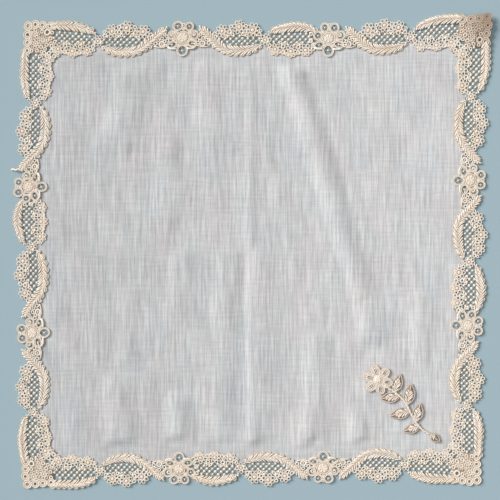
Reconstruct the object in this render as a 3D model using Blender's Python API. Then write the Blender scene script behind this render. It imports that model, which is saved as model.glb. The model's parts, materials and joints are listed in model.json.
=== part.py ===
"""A lace-edged handkerchief laid flat: a thin linen square, one lace border sewn over the
linen's cut edge, and one small lace spray applied in a corner.

The tables are in millimetres. The finished meshes are in metres, +Z up, and the surface
that the cloth lies on is z = 0. One side of the border is drawn in its own frame, with u
running clockwise along the side and v pointing outward from the border's middle line. The
four sides are turned copies of it, and a smooth warp moves them to where the lace lies.
"""

import math

import bpy
import numpy as np
from mathutils import Vector
from mathutils.geometry import delaunay_2d_cdt

MM = 0.001
LEAF_OUT = 43.7  # length of a unit that has its leaf on the outer edge
LEAF_IN = 57.4  # length of a unit that has its leaf on the inner edge
HALF_SIDE = 1.5 * (LEAF_OUT + LEAF_IN)  # middle of the cloth to the border's middle line
CENTRE = (-1.9, 1.1)  # moves the outline's middle onto the origin

LINEN_THICK = 1.0
LACE_THICK = 1.0
LAP_HEIGHT = 1.3  # underside of the lace where it lies over the linen
LAP_GAP = 0.35  # sideways gap between the linen's cut edge and the step in the lace
SPRAY_HEIGHT = 1.3  # underside of the corner spray
GRID = 9.0  # spacing of the linen's points
CREST_STEP = 8.0  # the same along a fold's crest
RIM_STEP = 5.0  # the same round the flat rim outside the folds
CORNER_LIFT = (3.0, 34.0)  # height and reach of the top right corner's lift

# Where the lace lies. Columns: u and v in the side's frame, then x and y on the table,
# for the stations of each side, clockwise from the top left corner.
WAISTS = (-HALF_SIDE + LEAF_OUT, -HALF_SIDE + LEAF_OUT + 2 * LEAF_IN, HALF_SIDE - LEAF_OUT)
FLOWERS = (WAISTS[0] + LEAF_IN, WAISTS[2] - LEAF_IN)
STATIONS = (
    # corner, waist, flower, waist, flower, waist
    ((-148.4, 148.4), (-106.0, 146.3), (-46.9, 148.4), (10.8, 147.0), (55.3, 148.0), (112.7, 149.4)),
    ((157.1, 154.0), (154.7, 107.8), (154.0, 49.0), (153.3, -8.1), (152.6, -52.8), (151.3, -108.8)),
    ((151.5, -152.6), (108.3, -150.1), (51.1, -152.6), (-6.3, -152.6), (-49.7, -153.3), (-105.3, -154.2)),
    ((-148.4, -156.1), (-151.5, -113.4), (-151.9, -58.1), (-152.9, 2.1), (-154.7, 44.1), (-149.8, 102.9)),
)
WAIST_V, FLOWER_V = -0.9, 1.05  # where the stations sit across the border

# The order of the units on a side. Columns: unit, u of its waist or flower, direction.
SIDE = (
    ("leaf_out_corner", WAISTS[0], -1),
    ("waist", WAISTS[0], 1),
    ("leaf_in", WAISTS[0], 1),
    ("flower", FLOWERS[0], 1),
    ("leaf_in", WAISTS[1], -1),
    ("waist", WAISTS[1], 1),
    ("leaf_out_flower", WAISTS[1], 1),
    ("flower", FLOWERS[1], 1),
    ("leaf_in", WAISTS[2], -1),
    ("waist", WAISTS[2], 1),
    ("leaf_out_corner", WAISTS[2], 1),
)

# The scallops of the border's edges, as arcs of discs. Columns: q along the unit from its
# waist (from the middle for a flower), v, radius, points on the arc, fill of the valley
# that follows on the side of larger q.
SCALLOPS = (
    (4.6, 4.4, 2.2, 1, 0.2),
    (8.6, 7.1, 2.2, 1, 0.0),
    (12.7, 8.8, 2.2, 1, 0.0),
    (16.8, 9.6, 2.2, 1, 0.0),
    (20.8, 9.8, 2.2, 1, 0.0),
    (24.8, 9.7, 2.2, 1, 0.0),
)
INNER_ROSES = ((7.4, -7.2, 4.6, 2, 2.6), (18.0, -8.4, 4.6, 2, 2.6), (28.2, -7.35, 4.6, 2, 1.6))
OUTER_EDGE = {
    "waist": ((0.0, 0.9, 3.3, 1, 0.9),),
    "leaf_in": (
        (9.1, 5.6, 4.9, 2, 1.5),
        (18.9, 7.7, 4.9, 2, 1.5),
        (30.4, 5.3, 4.9, 2, 1.2),
        (38.6, 4.4, 2.8, 1, 0.4),
        (43.2, 7.2, 3.2, 1, 0.2),
        (48.2, 8.4, 2.6, 1, 0.2),
    ),
    "leaf_out_corner": SCALLOPS + ((28.6, 9.2, 2.2, 1, 0.0), (32.2, 8.6, 2.2, 1, 0.0)),
    "leaf_out_flower": SCALLOPS + (
        (28.6, 8.6, 2.2, 1, 0.0),
        (32.2, 6.9, 2.2, 1, 0.0),
        (35.9, 5.4, 2.2, 1, 0.3),
    ),
    "flower": ((-3.6, 8.4, 3.7, 3, 0.4), (3.6, 8.4, 3.7, 3, 0.2)),
}
INNER_EDGE = {
    "waist": ((0.0, -2.7, 3.3, 1, 1.2),),
    "leaf_in": (
        (5.0, -5.8, 2.0, 1, 0.0),
        (8.8, -8.6, 2.0, 1, 0.0),
        (12.6, -10.3, 2.0, 1, 0.0),
        (16.4, -11.0, 2.0, 1, 0.0),
        (20.2, -11.0, 2.0, 1, 0.0),
        (24.0, -10.6, 2.0, 1, 0.0),
        (27.8, -9.6, 2.0, 1, 0.0),
        (31.6, -7.8, 2.0, 1, 0.0),
        (35.2, -5.9, 2.0, 1, 0.0),
        (39.0, -4.5, 2.0, 1, 0.0),
        (43.4, -3.6, 2.6, 1, 1.8),
    ),
    "leaf_out_corner": INNER_ROSES,
    "leaf_out_flower": INNER_ROSES,
    "flower": ((-6.5, -3.9, 3.7, 1, 0.6), (0.0, -7.9, 4.1, 3, 0.6), (6.5, -3.9, 3.7, 1, 1.8)),
}
# The same for the corner blocks, from the block's middle, for the top left one.
CORNER_OUTER = (
    (-7.0, -8.7, 3.2, 1, 0.0),
    (-7.0, -2.8, 3.2, 1, 0.0),
    (-7.3, 2.1, 3.2, 1, 0.0),
    (-7.4, 8.0, 3.2, 3, 0.0),
    (-2.1, 9.2, 3.2, 1, 0.0),
    (3.1, 8.5, 3.2, 1, 0.0),
    (7.6, 7.7, 3.2, 1, 0.0),
)
CORNER_INNER = ((12.6, -12.6, 2.6, 1, 1.0),)

# The linen's cut edge, under the lace. Columns: q, v.
LINEN_EDGE = {
    "waist": ((0.0, -4.4),),
    "leaf_in": ((5.4, -6.1), (10.0, -8.8), (18.0, -9.6), (26.0, -9.0), (33.0, -6.3), (40.0, -4.9)),
    "leaf_out_corner": ((4.2, -5.2), (7.2, -9.2), (20.0, -9.7), (26.5, -9.7)),
    "leaf_out_flower": ((4.2, -5.2), (7.2, -9.2), (20.0, -9.7), (28.0, -9.0), (33.6, -6.0)),
    "flower": ((-9.6, -5.1), (-7.4, -7.0), (-5.2, -6.8), (-3.95, -5.9), (-3.3, -8.6), (-1.7, -11.0),
               (1.7, -11.0), (3.3, -8.6), (3.95, -5.9), (5.2, -6.8), (7.4, -7.0), (9.6, -5.1)),
}
CORNER_LINEN = ((12.9, -12.9),)


def rose_tops(roses, to_net):
    """A raised middle for each rosette, and a low rim where it meets the net."""
    middles = tuple((q, v, 2.0) for q, v, *_ in roses)
    rims = tuple((q + side * 0.62 * r, v + to_net * 0.74 * r, 1.05)
                 for q, v, r, *_ in roses for side in (-1, 1))
    return middles + rims


# Raised points of the lace. Columns: q, v, height of the top over the lace's underside.
LEAF_OUT_RIB = ((6.0, 4.0, 1.6), (11.0, 6.9, 2.0), (14.2, 7.6, 1.5), (17.5, 8.0, 2.1), (20.8, 8.1, 1.5),
                (24.0, 8.1, 2.0), (29.5, 7.4, 1.7))
LEAF_OUT_EDGE = ((8.4, 3.4, 1.1), (14.0, 4.4, 1.2), (20.5, 4.6, 1.2), (27.0, 4.8, 1.1))
PEAKS = {
    "waist": ((0.0, -0.9, 1.9),),
    "leaf_in": rose_tops(OUTER_EDGE["leaf_in"][:3], -1) + (
        (6.0, -5.0, 1.5), (11.5, -7.4, 1.9), (17.5, -8.2, 2.1), (24.0, -7.9, 2.1),
        (30.0, -6.0, 1.9), (35.0, -3.0, 1.9), (39.4, 0.4, 1.8), (44.5, 4.2, 1.8),
        (9.5, -4.2, 1.1), (15.5, -4.7, 1.2), (21.5, -4.6, 1.2), (27.5, -3.2, 1.1), (33.0, 0.2, 1.1),
        (43.4, -3.4, 1.6),
    ),
    "leaf_out_corner": LEAF_OUT_RIB + LEAF_OUT_EDGE + rose_tops(INNER_ROSES, 1),
    "leaf_out_flower": LEAF_OUT_RIB + LEAF_OUT_EDGE + rose_tops(INNER_ROSES, 1),
    "flower": ((0.0, 1.05, 2.3), (0.0, 4.6, 1.1), (3.3, 3.0, 1.1), (-3.3, 3.0, 1.1), (3.6, -1.2, 1.1),
               (-3.6, -1.2, 1.1), (0.0, -3.4, 1.1)),
}
CORNER_PEAKS = ((-2.6, 2.8, 2.1), (-0.9, -3.4, 2.0), (-7.4, 8.0, 1.8), (3.0, -1.2, 1.1), (7.8, -2.0, 1.6),
                (-7.0, -8.7, 1.6), (7.6, 7.7, 1.6), (2.6, -8.0, 1.6), (-2.1, 9.2, 1.6), (3.1, 8.5, 1.6),
                (-7.0, -2.8, 1.6), (-4.4, -5.4, 1.1), (0.6, 5.8, 1.1), (-4.6, -0.2, 1.1), (5.0, -5.0, 1.1))

# The cut-through gaps of the lace. Columns: q, v, half length, half width, sides, turn in
# degrees, height of the rim. Every second mesh of the net is one of these.
RING_RIM = 1.7
NET_RIM = 0.9
NET_HALF = 1.9
LEAF_OUT_NET = tuple((q, v, NET_HALF, NET_HALF, 4, 0, NET_RIM) for q, v in
                     ((7.6, -0.5), (12.6, 0.2), (17.6, 0.3), (22.6, 0.4), (27.6, 0.4)))
GAPS = {
    "leaf_in": tuple((q, v, NET_HALF, NET_HALF, 4, 0, NET_RIM) for q, v in
                     ((7.2, -1.4), (12.2, -1.2), (17.2, -1.1), (22.2, -0.9), (27.4, 0.2))),
    "leaf_out_corner": LEAF_OUT_NET,
    "leaf_out_flower": LEAF_OUT_NET,
    "flower": (
        (-3.6, 8.4, 2.1, 2.2, 6, 30, RING_RIM), (3.6, 8.4, 2.1, 2.2, 6, 30, RING_RIM),
        (-7.9, 2.9, 2.1, 2.1, 6, 30, RING_RIM), (7.9, 2.9, 2.1, 2.1, 6, 30, RING_RIM),
        (-6.5, -3.9, 2.1, 2.1, 6, 30, RING_RIM), (6.5, -3.9, 2.1, 2.1, 6, 30, RING_RIM),
        (0.0, -7.9, 2.1, 2.2, 6, 30, RING_RIM),
    ),
}
CORNER_GAPS = ((9.6, -9.7, 2.5, 2.5, 3, 75, 1.2), (6.4, 4.0, 2.1, 2.1, 6, 0, 1.4),
               (-7.3, 2.1, 2.0, 1.4, 6, 0, 1.4))

# The folds of the linen, where the photograph's shading shows them. Columns: x and y of the
# upper and of the lower end, width of the left slope and of the right one, height.
FOLDS = (
    (0.4, 134.0, 0.0, -3.5, 5.0, 6.0, 0.6),
    (-14.4, -8.4, -20.7, -134.0, 13.0, 12.0, 1.0),
    (1.8, -8.4, 1.8, -134.0, 6.0, 23.0, 1.4),
    (28.0, 131.6, 77.7, -30.8, 11.0, 13.0, 2.1),
    (77.7, -30.8, 87.5, -74.2, 10.0, 17.0, 1.6),
    (-82.6, 119.0, -93.8, 77.0, 16.0, 17.0, 1.2),
    (-30.8, 126.0, -25.2, 35.0, 11.0, 14.0, 0.6),
    (-57.7, 70.0, -59.1, 24.5, 14.0, 13.0, 0.9),
    (-50.5, -8.4, -51.9, -38.5, 8.0, 14.0, 0.7),
    (-80.5, -30.8, -86.8, -75.6, 11.0, 6.0, 0.3),
    (-68.2, -86.8, -71.7, -109.2, 10.0, 13.0, 0.5),
    (-90.6, -98.0, -90.6, -134.0, 16.0, 16.0, 1.6),
    (-51.2, -108.0, -51.2, -136.0, 12.0, 14.0, 1.8),
    (48.4, -64.4, 40.3, -136.0, 12.0, 13.0, 1.2),
    (75.6, -104.0, 75.6, -134.0, 10.0, 12.0, 1.2),
    (117.1, -35.0, 117.1, -78.0, 6.0, 13.0, 0.8),
)
FOLD_FADE = (6.5, 14.0)  # distance from the linen's edge where a fold starts and is whole
SPRAY_FADE = (20.0, 32.0)  # the same from the spray's stem

# The corner spray, drawn along its stem: s runs from the blossom to the foot, w across.
SPRAY_AT = (89.4, -90.6)
SPRAY_TURN = -45.0  # direction of the stem in degrees
SPRAY_LONG = 53.0
STEM = ((6.0, 0.0), (15.0, 2.3), (25.0, 2.2), (35.0, -1.0), (45.0, -2.8), (SPRAY_LONG, -1.2))
STEM_HALF = 1.1
# Columns: s and w of the leaf's foot, its direction in degrees, length, half width.
SPRAY_LEAVES = (
    (14.5, 2.2, 118.0, 13.5, 3.4),
    (19.0, 2.5, -128.0, 14.0, 3.5),
    (27.0, 1.9, 124.0, 15.5, 3.8),
    (31.5, 0.3, -122.0, 15.0, 3.8),
    (39.5, -2.0, 122.0, 13.5, 3.5),
    (43.5, -2.6, -118.0, 12.0, 3.2),
    (52.5, -1.3, 8.0, 9.0, 2.8),
)
PETALS = 6
PETAL_REACH, PETAL_LONG, PETAL_WIDE, HEART = 6.3, 4.6, 3.5, 3.4


def turned(points, quarter):
    """The points of the top side, turned clockwise by a number of quarter turns."""
    p = np.asarray(points, float)
    for _ in range(quarter):
        p = np.stack([p[..., 1], -p[..., 0]], axis=-1)
    return p


def on_side(rows, at, way, quarter):
    """Table rows of a unit as plan points, in the order in which u grows."""
    rows = rows if way > 0 else rows[::-1]
    return [(turned((at + way * row[0], HALF_SIDE + row[1]), quarter), row[2:]) for row in rows]


def on_corner(rows, quarter):
    return [(turned((-HALF_SIDE + row[0], HALF_SIDE + row[1]), quarter), row[2:]) for row in rows]


def around(table, corner_rows):
    """All rows of a table around the border, clockwise from the top left corner."""
    found = []
    for quarter in range(4):
        found += on_corner(corner_rows, quarter)
        for unit, at, way in SIDE:
            placed = on_side(table.get(unit, ()), at, way, quarter)
            if way < 0 and placed and len(placed[0][1]) == 3:
                # A valley's fill belongs to the step toward larger q, so it moves back one row.
                fills = [extra[2] for _, extra in placed[1:]] + [table["waist"][0][4]]
                placed = [(p, (e[0], e[1], fill)) for (p, e), fill in zip(placed, fills)]
            found += placed
    return found


def chain(discs, bulge):
    """A closed edge along a row of discs. bulge is 1 where they swell to the left."""
    middles = np.array([p for p, _ in discs])
    count = len(discs)
    valleys = []
    for i in range(count):
        j = (i + 1) % count
        (r0, _, fill), (r1, _, _) = discs[i][1], discs[j][1]
        step = middles[j] - middles[i]
        far = np.linalg.norm(step)
        step = step / far
        side = bulge * np.array((-step[1], step[0]))
        along = (r0 * r0 - r1 * r1 + far * far) / (2 * far)
        rise = r0 * r0 - along * along
        if rise < 0:
            along, rise = r0 + (far - r0 - r1) / 2, 0.0
        valleys.append(middles[i] + step * along + side * (math.sqrt(rise) + fill))
    points, tops = [], []
    for i in range(count):
        radius, steps, _ = discs[i][1]
        start, end = (v - middles[i] for v in (valleys[i - 1], valleys[i]))
        a0, a1 = math.atan2(start[1], start[0]), math.atan2(end[1], end[0])
        sweep = (a1 - a0) % (2 * math.pi)
        if bulge > 0:
            sweep -= 2 * math.pi
        for k in range(1, steps + 1):
            a = a0 + sweep * k / (steps + 1)
            points.append(middles[i] + radius * np.array((math.cos(a), math.sin(a))))
            tops.append(0.3)
        points.append(valleys[i])
        tops.append(0.05)
    return np.array(points), LACE_THICK + np.array(tops)


def shifted(loop, distance):
    """The closed loop moved to its left by a distance."""
    ahead = np.roll(loop, -1, axis=0) - loop
    ahead /= np.linalg.norm(ahead, axis=1)[:, None]
    normal = np.stack([-ahead[:, 1], ahead[:, 0]], axis=1)
    mean = normal + np.roll(normal, 1, axis=0)
    mean /= np.linalg.norm(mean, axis=1)[:, None]
    stretch = (mean * normal).sum(axis=1).clip(0.6, 1.0)
    return loop + mean * (distance / stretch)[:, None]


def thin_plate(sources, targets):
    """The smooth map that carries the sources onto the targets."""
    def bend(d):
        return np.where(d > 0, d * d * np.log(np.maximum(d, 1e-9)), 0.0)

    count = len(sources)
    system = np.zeros((count + 3, count + 3))
    system[:count, :count] = bend(np.linalg.norm(sources[:, None] - sources[None], axis=2))
    system[:count, count:] = np.column_stack([np.ones(count), sources])
    system[count:, :count] = system[:count, count:].T
    weights = np.linalg.solve(system, np.vstack([targets, np.zeros((3, 2))]))

    def apply(points):
        points = np.asarray(points, float)
        rows = bend(np.linalg.norm(points[:, None] - sources[None], axis=2))
        return rows @ weights[:count] + np.column_stack([np.ones(len(points)), points]) @ weights[count:]

    return apply


def settle():
    """The map from the even drawing to the border as it lies on the table."""
    drawn, lying = [], []
    for quarter, row in enumerate(STATIONS):
        us = (-HALF_SIDE, WAISTS[0], FLOWERS[0], WAISTS[1], FLOWERS[1], WAISTS[2])
        vs = (0.0, WAIST_V, FLOWER_V, WAIST_V, FLOWER_V, WAIST_V)
        drawn += [turned((u, HALF_SIDE + v), quarter) for u, v in zip(us, vs)]
        lying += [(x + CENTRE[0], y + CENTRE[1]) for x, y in row]
    return thin_plate(np.array(drawn), np.array(lying))


def inside(points, loop):
    """Which points lie inside a closed loop."""
    x, y = np.asarray(points, float).T[:, :, None]
    x0, y0 = loop.T
    x1, y1 = np.roll(loop, -1, axis=0).T
    rise = np.where(y1 == y0, 1e-12, y1 - y0)
    crosses = ((y0 > y) != (y1 > y)) & (x < (x1 - x0) * (y - y0) / rise + x0)
    return crosses.sum(axis=1) % 2 == 1


def distance_to(points, loop):
    """Distance of each point from a closed loop."""
    a, b = loop[None], np.roll(loop, -1, axis=0)[None]
    p = np.asarray(points, float)[:, None]
    t = (((p - a) * (b - a)).sum(axis=2) / ((b - a) ** 2).sum(axis=2)).clip(0, 1)
    return np.linalg.norm(p - a - (b - a) * t[..., None], axis=2).min(axis=1)


def triangulate(points, loops):
    """Delaunay triangles over the points, with every loop of indices kept as edges."""
    edges = [(int(a), int(b)) for loop in loops for a, b in zip(loop, np.roll(loop, -1))]
    found = delaunay_2d_cdt([Vector(p) for p in points], edges, [], 0, 1e-6, True)
    return np.array([tuple(p) for p in found[0]]), np.array([f[:] for f in found[2]]), found[3]


def smooth(t):
    t = np.clip(t, 0.0, 1.0)
    return t * t * (3 - 2 * t)


def corner_lift(points):
    """How far the top right corner has risen at each point."""
    height, reach = CORNER_LIFT
    tip = np.array(STATIONS[1][0]) + np.array(CENTRE) + 10.0
    return height * smooth(1 - np.linalg.norm(points - tip, axis=1) / reach)


def from_line(points, start, end):
    """Distance of each point from a straight line between two points of the tables."""
    a, b = np.add(start, CENTRE), np.add(end, CENTRE)
    t = (((points - a) @ (b - a)) / ((b - a) @ (b - a))).clip(0, 1)
    return np.linalg.norm(points - a - t[:, None] * (b - a), axis=1)


def from_ridge(points, row):
    """Distance from a fold's crest, as a share of the slope on that side."""
    x0, y0, x1, y1, left, right, _ = row
    away = from_line(points, (x0, y0), (x1, y1))
    ahead = np.array((x1 - x0, y1 - y0)) / math.hypot(x1 - x0, y1 - y0)
    side = (points - (x0, y0) - CENTRE) @ np.array((-ahead[1], ahead[0]))
    lean = (side / np.maximum(away, 1e-6)).clip(-1, 1)
    return away / (left + (right - left) * (lean + 1) / 2)


def fold_height(points, edge):
    """Height of the linen's folds, which fade toward its edge and the spray."""
    height = np.zeros(len(points))
    for row in FOLDS:
        away = from_ridge(points, row).clip(0, 1)
        height = np.maximum(height, row[-1] * (1 - away**2) ** 2)
    foot = spin((SPRAY_LONG, 0.0), SPRAY_TURN) + SPRAY_AT
    for away, (near, whole) in (
        (distance_to(points, edge), FOLD_FADE),
        (from_line(points, SPRAY_AT, foot), SPRAY_FADE),
    ):
        height = height * smooth((away - near) / (whole - near))
    return height


def make_solid(name, points, faces, top, low, step=None):
    """A closed sheet over plan triangles. step is (plan points under the step, faces inside
    it, height): the underside stands at that height there, behind an upright wall."""
    count = len(points)
    verts = [(x, y, z) for (x, y), z in zip(points, top)]
    verts += [(x, y, z) for (x, y), z in zip(points, low)]
    under = np.arange(count) + count
    raised = under.copy()
    inner = np.zeros(len(faces), bool)
    if step:
        on_step, inner, height = step
        for i in on_step:
            raised[i] = len(verts)
            verts.append((points[i][0], points[i][1], low[i] + height))
    made, owner = [], {}
    for face, is_in in zip(faces, inner):
        made.append(tuple(face))
        made.append(tuple((raised if is_in else under)[list(face[::-1])]))
        for k in range(3):
            owner[(face[k], face[(k + 1) % 3])] = is_in
    for (a, b), is_in in owner.items():
        if (b, a) not in owner:
            made.append((under[a], under[b], b, a))
        elif is_in and not owner[(b, a)]:
            made.append((under[a], raised[a], raised[b], under[b]))
    mesh = bpy.data.meshes.new(name)
    mesh.from_pydata([(x * MM, y * MM, z * MM) for x, y, z in verts], [],
                     [tuple(int(i) for i in f) for f in made])
    mesh.validate()
    obj = bpy.data.objects.new(name, mesh)
    bpy.context.scene.collection.objects.link(obj)
    return obj


def lace_border(warp):
    """The whole border as one pierced sheet, stepped underneath where it covers the linen."""
    outer, outer_top = chain(around(OUTER_EDGE, CORNER_OUTER), 1)
    inner, inner_top = chain(around(INNER_EDGE, CORNER_INNER), -1)
    linen = np.array([p for p, _ in around(LINEN_EDGE, CORNER_LINEN)])
    lap = shifted(linen, LAP_GAP)
    points, tops, loops = [outer, inner, lap], [outer_top, inner_top, np.full(len(lap), 1.2)], []
    start = 0
    for part in points:
        loops.append(np.arange(start, start + len(part)))
        start += len(part)
    for quarter in range(4):
        placed = [on_side(GAPS.get(unit, ()), at, way, quarter) for unit, at, way in SIDE]
        ways = [way for _, _, way in SIDE] + [1]
        placed.append(on_corner(CORNER_GAPS, quarter))
        for way, gaps in zip(ways, placed):
            for middle, (long, wide, sides, turn, rim) in gaps:
                a = np.radians(turn) + 2 * np.pi * np.arange(sides) / sides
                ring = np.stack([way * long * np.cos(a), wide * np.sin(a)], axis=1)
                points.append(middle + turned(ring, quarter))
                tops.append(np.full(sides, rim + 0.1))
                loops.append(np.arange(start, start + sides))
                start += sides
    peaks = around(PEAKS, CORNER_PEAKS)
    points.append(np.array([p for p, _ in peaks]))
    tops.append(np.array([extra[0] for _, extra in peaks]))
    flat = warp(np.vstack(points))
    top = np.concatenate(tops)

    outline, faces, sources = triangulate(flat, loops)
    strays = len(outline) - len(flat)
    if strays:
        wrong = [tuple(np.round(p, 1)) for p, s in zip(outline, sources) if not s]
        print("edges of the lace cross at", strays, wrong[:12])
    order = np.array([s[0] if s else 0 for s in sources])
    top = top[order]
    middle = outline[faces].mean(axis=1)
    keep = inside(middle, flat[loops[0]]) & ~inside(middle, flat[loops[1]])
    for loop in loops[3:]:
        keep &= ~inside(middle, flat[loop])
    faces = faces[keep]
    used = np.unique(faces)
    outline, top, order = outline[used], top[used], order[used]
    faces = np.searchsorted(used, faces)

    lap_loop = flat[loops[2]]
    on_lap = np.isin(order, loops[2])
    over = inside(outline, lap_loop) & ~on_lap
    low = corner_lift(outline)
    height = low + top + np.where(over | on_lap, LAP_HEIGHT, 0.0)
    low = low + np.where(over, LAP_HEIGHT, 0.0)
    inner_faces = inside(outline[faces].mean(axis=1), lap_loop)
    obj = make_solid("lace_border", outline, faces, height, low,
                     (np.flatnonzero(on_lap), inner_faces, LAP_HEIGHT))
    return obj, warp(linen)


def stepped(loop, step):
    """Points along a closed loop at an even step."""
    closed = np.vstack([loop, loop[:1]])
    far = np.concatenate([[0], np.cumsum(np.linalg.norm(np.diff(closed, axis=0), axis=1))])
    at = np.arange(0, far[-1], step)
    return np.stack([np.interp(at, far, column) for column in closed.T], axis=1)


def thinned(points, apart):
    """The points in their order, without any that lies too near an earlier one."""
    kept = points[:1]
    for p in points[1:]:
        if np.linalg.norm(kept - p, axis=1).min() > apart:
            kept = np.vstack([kept, p])
    return kept


def linen_field(edge):
    """The linen square, lying flat except for its folds."""
    low, high = edge.min(axis=0), edge.max(axis=0)
    xs = np.arange(low[0], high[0], GRID)
    ys = np.arange(low[1], high[1], GRID)
    grid = np.array([(x + (j % 2) * GRID / 2, y) for j, y in enumerate(ys) for x in xs])
    crests, feet = [], []
    for x0, y0, x1, y1, left, right, _ in FOLDS:
        a, b = np.array((x0, y0)) + CENTRE, np.array((x1, y1)) + CENTRE
        ahead = (b - a) / np.linalg.norm(b - a)
        normal = np.array((-ahead[1], ahead[0]))
        parts = max(2, round(np.linalg.norm(b - a) / CREST_STEP))
        line = a + (b - a) * np.linspace(0, 1, parts + 1)[:, None]
        crests.append(line)
        feet += [line - left * normal, line + right * normal]
    rim = stepped(shifted(edge, -FOLD_FADE[0]), RIM_STEP)
    inner = np.vstack([rim] + crests + feet + [grid])
    away = distance_to(inner, edge)
    inner = thinned(inner[inside(inner, edge) & (away > 0.4 * GRID)], 0.45 * GRID)
    flat = np.vstack([edge, inner])
    outline, faces, _ = triangulate(flat, [np.arange(len(edge))])
    faces = faces[inside(outline[faces].mean(axis=1), edge)]
    rise = fold_height(outline, edge)
    return make_solid("linen_field", outline, faces, rise + LINEN_THICK, rise)


def pointed_oval(length, half):
    """A leaf outline from its foot at the origin, along x."""
    t = np.linspace(0, 1, 6)
    width = half * np.sin(np.pi * t ** 0.85)
    upper = np.stack([length * t, width], axis=1)
    return np.vstack([upper, upper[-2:0:-1] * (1, -1)])


def spin(points, degrees):
    a = math.radians(degrees)
    return np.asarray(points) @ np.array(((math.cos(a), math.sin(a)), (-math.sin(a), math.cos(a))))


def corner_spray():
    """One flat spray: a six-petalled blossom on a curved stem with seven leaves."""
    shapes, ribs = [], []
    stem = np.array(STEM)
    ahead = np.gradient(stem, axis=0)
    normal = np.stack([-ahead[:, 1], ahead[:, 0]], axis=1) / np.linalg.norm(ahead, axis=1)[:, None]
    shapes.append(np.vstack([stem + normal * STEM_HALF, (stem - normal * STEM_HALF)[::-1]]))
    for s, w, turn, length, half in SPRAY_LEAVES:
        foot = np.array((s, w))
        shapes.append(foot + spin(pointed_oval(length, half), turn))
        ribs += [(foot + spin((length * t, 0.0), turn), 0.7) for t in (0.35, 0.65)]
    for k in range(PETALS):
        a = 2 * np.pi * np.arange(10) / 10
        oval = np.stack([PETAL_REACH + PETAL_LONG * np.cos(a), PETAL_WIDE * np.sin(a)], axis=1)
        shapes.append(spin(oval, 360 * k / PETALS + 30))
        ribs.append((spin((PETAL_REACH + 0.8, 0.0), 360 * k / PETALS + 30), -0.1))
    a = 2 * np.pi * np.arange(9) / 9 + 0.1
    shapes.append(HEART * np.stack([np.cos(a), np.sin(a)], axis=1))
    ribs.append((np.zeros(2), 0.9))

    loops, start = [], 0
    for shape in shapes:
        loops.append(np.arange(start, start + len(shape)))
        start += len(shape)
    flat = np.vstack(shapes + [np.array([p for p, _ in ribs])])
    raised = dict(zip(range(start, len(flat)), (h for _, h in ribs)))
    outline, faces, sources = triangulate(flat, loops)
    middle = outline[faces].mean(axis=1)
    faces = faces[np.any([inside(middle, shape) for shape in shapes], axis=0)]
    extra = np.array([raised.get(s[0], 0.0) if s else 0.2 for s in sources])
    used = np.unique(faces)
    faces = np.searchsorted(used, faces)
    place = spin(outline[used], SPRAY_TURN) + SPRAY_AT + np.array(CENTRE)
    top = SPRAY_HEIGHT + LACE_THICK + 0.2 + extra[used]
    return make_solid("corner_sprig", place, faces, top, np.full(len(place), SPRAY_HEIGHT))


def paint(obj, name, colour, rough):
    material = bpy.data.materials.new(name)
    material.use_nodes = True
    shader = material.node_tree.nodes["Principled BSDF"]
    shader.inputs["Base Color"].default_value = (*colour, 1.0)
    shader.inputs["Roughness"].default_value = rough
    obj.data.materials.append(material)


def main():
    for obj in list(bpy.data.objects):
        bpy.data.objects.remove(obj, do_unlink=True)
    border, edge = lace_border(settle())
    paint(border, "cream_lace", (0.80, 0.70, 0.58), 0.9)
    paint(linen_field(edge), "sheer_linen", (0.58, 0.57, 0.56), 0.85)
    paint(corner_spray(), "cream_lace", (0.80, 0.70, 0.58), 0.9)


main()
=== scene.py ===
"""Looks of the lace-edged handkerchief: threads of the lace border, a sheer linen sheet with
its folds, and a small spray of lace in one corner, lying on a plain pale floor.

Tables and drawing are in millimetres, and the finished meshes in metres. One side of the
border is drawn in its own frame, with u running clockwise along the side and v pointing
outward from the border's middle line. A unit of it is drawn from its waist, with q along
the unit. The four sides are turned copies, and a smooth warp moves them to where the lace
lies. Heights inside the drawing are over the lace's underside.
"""

import json
import math

import bpy
import numpy as np
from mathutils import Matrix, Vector
from mathutils.geometry import delaunay_2d_cdt

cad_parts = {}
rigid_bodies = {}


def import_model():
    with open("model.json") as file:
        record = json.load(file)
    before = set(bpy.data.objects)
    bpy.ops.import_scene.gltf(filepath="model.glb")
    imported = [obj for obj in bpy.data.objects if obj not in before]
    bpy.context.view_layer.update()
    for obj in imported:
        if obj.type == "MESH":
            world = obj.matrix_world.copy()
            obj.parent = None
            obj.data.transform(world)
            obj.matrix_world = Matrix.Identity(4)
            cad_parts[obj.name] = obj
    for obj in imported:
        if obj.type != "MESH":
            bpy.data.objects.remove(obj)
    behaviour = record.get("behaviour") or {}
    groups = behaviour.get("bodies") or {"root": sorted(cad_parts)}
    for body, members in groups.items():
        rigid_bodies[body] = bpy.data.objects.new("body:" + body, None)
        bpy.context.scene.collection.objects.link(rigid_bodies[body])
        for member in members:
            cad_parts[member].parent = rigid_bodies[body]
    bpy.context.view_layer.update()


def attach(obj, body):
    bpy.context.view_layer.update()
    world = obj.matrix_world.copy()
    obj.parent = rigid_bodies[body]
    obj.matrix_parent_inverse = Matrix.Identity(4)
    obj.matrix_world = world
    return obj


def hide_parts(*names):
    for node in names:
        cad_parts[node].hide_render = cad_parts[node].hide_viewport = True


MM = 0.001
LEAF_OUT = 43.7  # length of a unit that has its leaf on the outer edge
LEAF_IN = 57.4  # length of a unit that has its leaf on the inner edge
HALF_SIDE = 1.5 * (LEAF_OUT + LEAF_IN)
CENTRE = (-1.9, 1.1)  # moves the outline's middle onto the origin
CORNER_LIFT = (3.0, 34.0)  # height and reach of the top right corner's lift
LINEN_Z = 0.55  # the linen's height before its folds, its unevenness and the drop of its edge
EDGE_DROP, EDGE_REACH = 0.35, 5.0  # how far the linen's cut edge lies lower, and over which width
LACE_OVER_LINEN = 0.45  # how much higher the lace lies on the linen than beside it
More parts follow.
